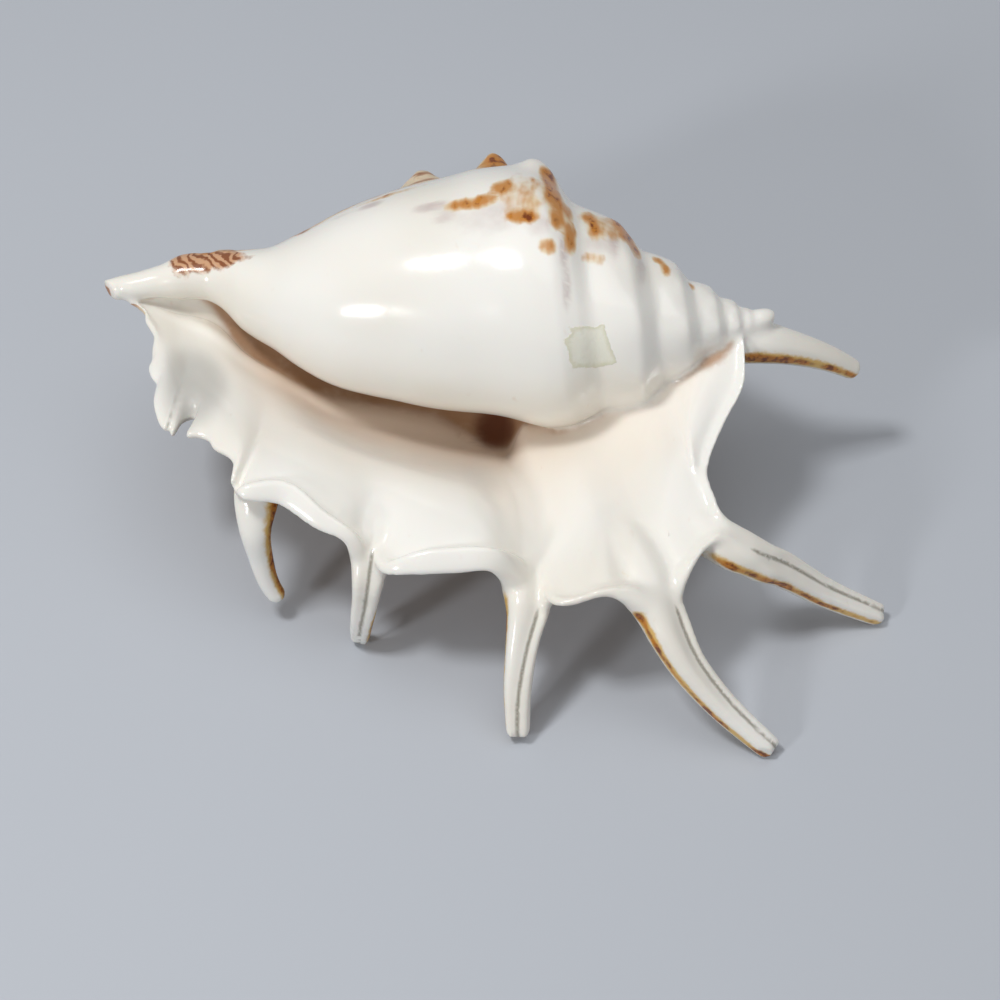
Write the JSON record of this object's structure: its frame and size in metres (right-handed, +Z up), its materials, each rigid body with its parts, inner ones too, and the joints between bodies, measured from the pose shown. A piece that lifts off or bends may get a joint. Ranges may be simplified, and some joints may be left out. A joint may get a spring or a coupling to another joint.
{
  "type": "spider conch shell",
  "caption": "Spider conch shell lying on its back: coiled body with a low spire, a long canal and a flared lip with curved fingers.",
  "frame": {"origin": "on the resting surface, under the middle of the bounding box", "axes": "+X along the coil's axis from the siphonal canal to the apex, -Y towards the fingered lip, +Z up"},
  "size_m": [0.1692, 0.1268, 0.0684],
  "materials": {
    "shell": "glazed white underside and lip, with a duller cream back mottled in brown"
  },
  "bodies": {
    "root": {"shell": "shell"}
  },
  "joints": []
}
